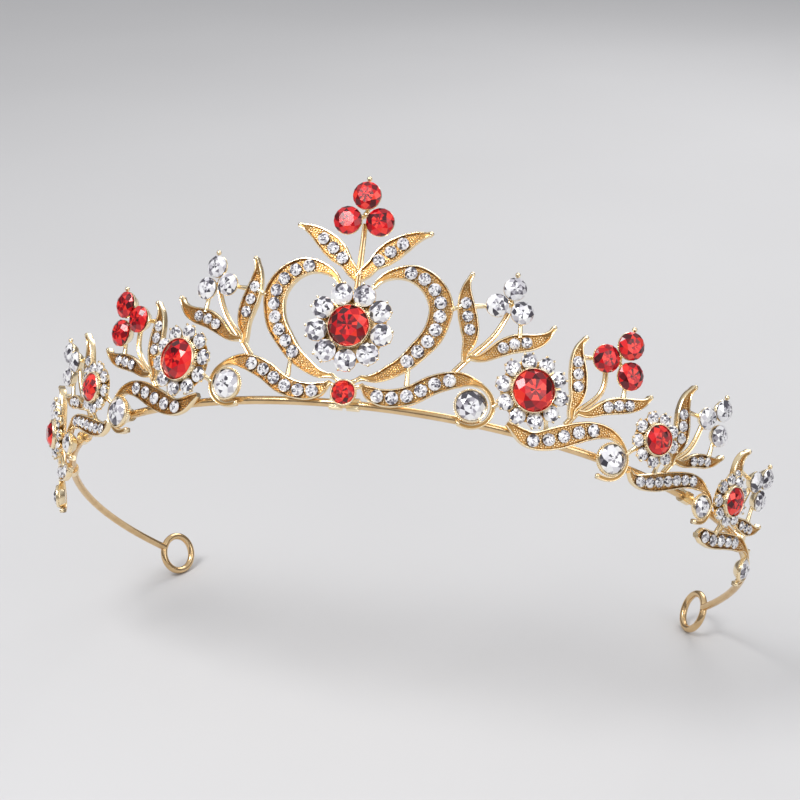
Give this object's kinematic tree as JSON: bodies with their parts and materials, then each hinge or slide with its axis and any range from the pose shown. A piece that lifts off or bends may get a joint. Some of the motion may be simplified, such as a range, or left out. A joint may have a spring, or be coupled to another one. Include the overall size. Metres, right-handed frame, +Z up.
{
  "type": "crown",
  "caption": "Tiara-style crown: cast leaf, scroll and flower ornaments set with red and clear stones on a sprung wire band with pin rings.",
  "frame": {"origin": "centre of the circle that the front of the band wire follows, in the plane of the wire, where the wearer's head passes", "axes": "+Z up as the crown is shown, front raised; the jewelled front faces -Y; +X is the viewer's right; the wire plane is tipped 46 degrees about X so the end rings are lowest"},
  "size_m": [0.1474, 0.075, 0.111],
  "materials": {
    "cast_gold": "polished champagne-gold plate, sunk floors granulated",
    "wire_gold": "drawn wire, gold plated",
    "ruby_glass": "faceted foil-backed glass",
    "clear_glass": "faceted foil-backed glass"
  },
  "bodies": {
    "root": {"band_wire": "wire_gold", "centre_drop_setting": "cast_gold", "centre_drop_stone": "ruby_glass", "clear_berries": "clear_glass", "crest_berries": "ruby_glass", "crest_leaf_left": "cast_gold", "crest_leaf_right": "cast_gold", "crest_pave": "clear_glass", "crest_stem": "cast_gold", "flower_2_setting_left": "cast_gold", "flower_2_setting_right": "cast_gold", "flower_3_setting_left": "cast_gold", "flower_3_setting_right": "cast_gold", "flower_4_setting_left": "cast_gold", "flower_4_setting_right": "cast_gold", "flower_petals": "clear_glass", "flower_rubies": "ruby_glass", "heart_arm_left": "cast_gold", "heart_arm_right": "cast_gold", "heart_flower_setting": "cast_gold", "heart_pave": "clear_glass", "heart_petals": "clear_glass", "heart_ruby": "ruby_glass", "hook_cups": "cast_gold", "hook_stones": "clear_glass", "leaf_pave": "clear_glass", "leaves_1_left": "cast_gold", "leaves_1_right": "cast_gold", "leaves_2_left": "cast_gold", "leaves_2_right": "cast_gold", "leaves_3_left": "cast_gold", "leaves_3_right": "cast_gold", "leaves_4_left": "cast_gold", "leaves_4_right": "cast_gold", "red_berries": "ruby_glass", "scroll_1_left": "cast_gold", "scroll_1_right": "cast_gold", "scroll_2_left": "cast_gold", "scroll_2_right": "cast_gold", "scroll_3_left": "cast_gold", "scroll_3_right": "cast_gold", "scroll_4_left": "cast_gold", "scroll_4_right": "cast_gold", "scroll_pave": "clear_glass", "sprig_1_left": "cast_gold", "sprig_1_right": "cast_gold", "sprig_2_left": "cast_gold", "sprig_2_right": "cast_gold", "sprig_3_left": "cast_gold", "sprig_3_right": "cast_gold", "sprig_4_left": "cast_gold", "sprig_4_right": "cast_gold", "wire_clasps": "cast_gold"}
  },
  "joints": []
}
